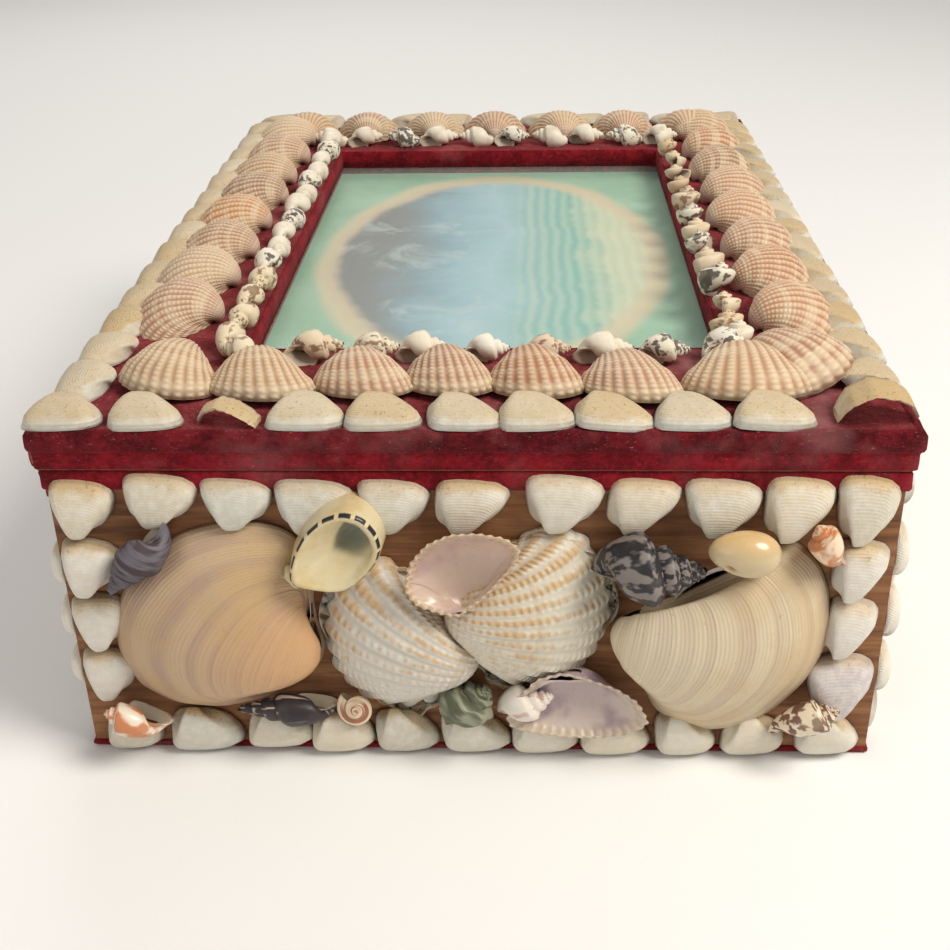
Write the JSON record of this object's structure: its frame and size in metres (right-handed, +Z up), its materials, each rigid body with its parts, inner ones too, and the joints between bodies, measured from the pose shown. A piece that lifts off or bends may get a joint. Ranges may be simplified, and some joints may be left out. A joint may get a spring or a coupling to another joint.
{
  "type": "shell box",
  "caption": "Wooden keepsake box covered with sea shells, with a cloth-hinged lid that frames a picture under glass.",
  "frame": {"origin": "on the ground under the middle of the box", "axes": "+Z up; -Y towards the short side with the large shells; the lid is hinged along the -X long side"},
  "size_m": [0.1959, 0.2741, 0.0897],
  "materials": {
    "wood": "bare pine, darkened by glue and age",
    "velvet": "crimson velvet ribbon, dusty and worn pink on its edges",
    "webbing": "faded orange-red ribbed webbing",
    "picture": "printed card",
    "glass": "clear flat glass",
    "wedge_shell": "ivory shell, satin, yellowed with dirt on top",
    "cockle_shell": "white ribbed shell with tan stains",
    "clam_shell": "smooth buff shell with lavender and tan bands",
    "pink_shell": "ribbed shell with pinkish brown stripes",
    "speckled_shell": "glossy cream shell speckled brown",
    "dark_shell": "blackish shell with pale knobs and stripes",
    "orange_shell": "glossy orange shell mottled white",
    "brown_shell": "glossy brown shell mottled white",
    "mauve_shell": "cream shell with a violet inside",
    "olive_shell": "rough grey-green shell"
  },
  "bodies": {
    "box": {"box_wall_near": "wood", "box_wall_far": "wood", "box_wall_hinge": "wood", "box_wall_front": "wood", "box_bottom": "wood", "body_velvet_trim": "velvet", "base_trim": "velvet", "hinge_cloth_lower": "webbing", "near_top_row": "wedge_shell", "near_foot_row": "wedge_shell", "near_left_column": "wedge_shell", "near_right_column": "wedge_shell", "cockle_right": "cockle_shell", "cockle_left": "cockle_shell", "clam_left": "clam_shell", "clam_right": "clam_shell", "nerite": "dark_shell", "open_cockle": "pink_shell", "horn_shell": "dark_shell", "cowrie": "cockle_shell", "orange_snail": "orange_shell", "grey_horn": "dark_shell", "mottled_snail": "orange_shell", "banded_snail": "dark_shell", "top_shell": "brown_shell", "rough_shell": "olive_shell", "white_whelk": "speckled_shell", "open_ark": "mauve_shell", "cone_shell": "brown_shell", "front_top_row": "wedge_shell", "front_shells": "clam_shell", "far_top_row": "wedge_shell", "far_shells": "clam_shell", "hinge_top_row": "wedge_shell", "hinge_shells": "clam_shell"},
    "lid": {"lid_board": "wood", "lid_rail_near": "wood", "lid_rail_far": "wood", "lid_rail_hinge": "wood", "lid_rail_front": "wood", "picture_card": "picture", "window_glass": "glass", "window_velvet": "velvet", "lid_velvet_band": "velvet", "hinge_cloth_upper": "webbing", "lid_wedges_near": "wedge_shell", "lid_wedges_front": "wedge_shell", "lid_wedges_far": "wedge_shell", "lid_wedges_hinge": "wedge_shell", "lid_cockles_near": "pink_shell", "lid_cockles_front": "pink_shell", "lid_cockles_far": "pink_shell", "lid_cockles_hinge": "pink_shell", "lid_whelks_near": "speckled_shell", "lid_whelks_front": "speckled_shell", "lid_whelks_far": "speckled_shell", "lid_whelks_hinge": "speckled_shell", "lid_broken_corner_shell": "wedge_shell"}
  },
  "joints": [
    {"name": "lid_hinge", "type": "hinge", "parent": "box", "child": "lid", "pos_m": [-0.088, 0, 0.071], "axis": [0, -1, 0], "range_deg": [0, 95]}
  ]
}
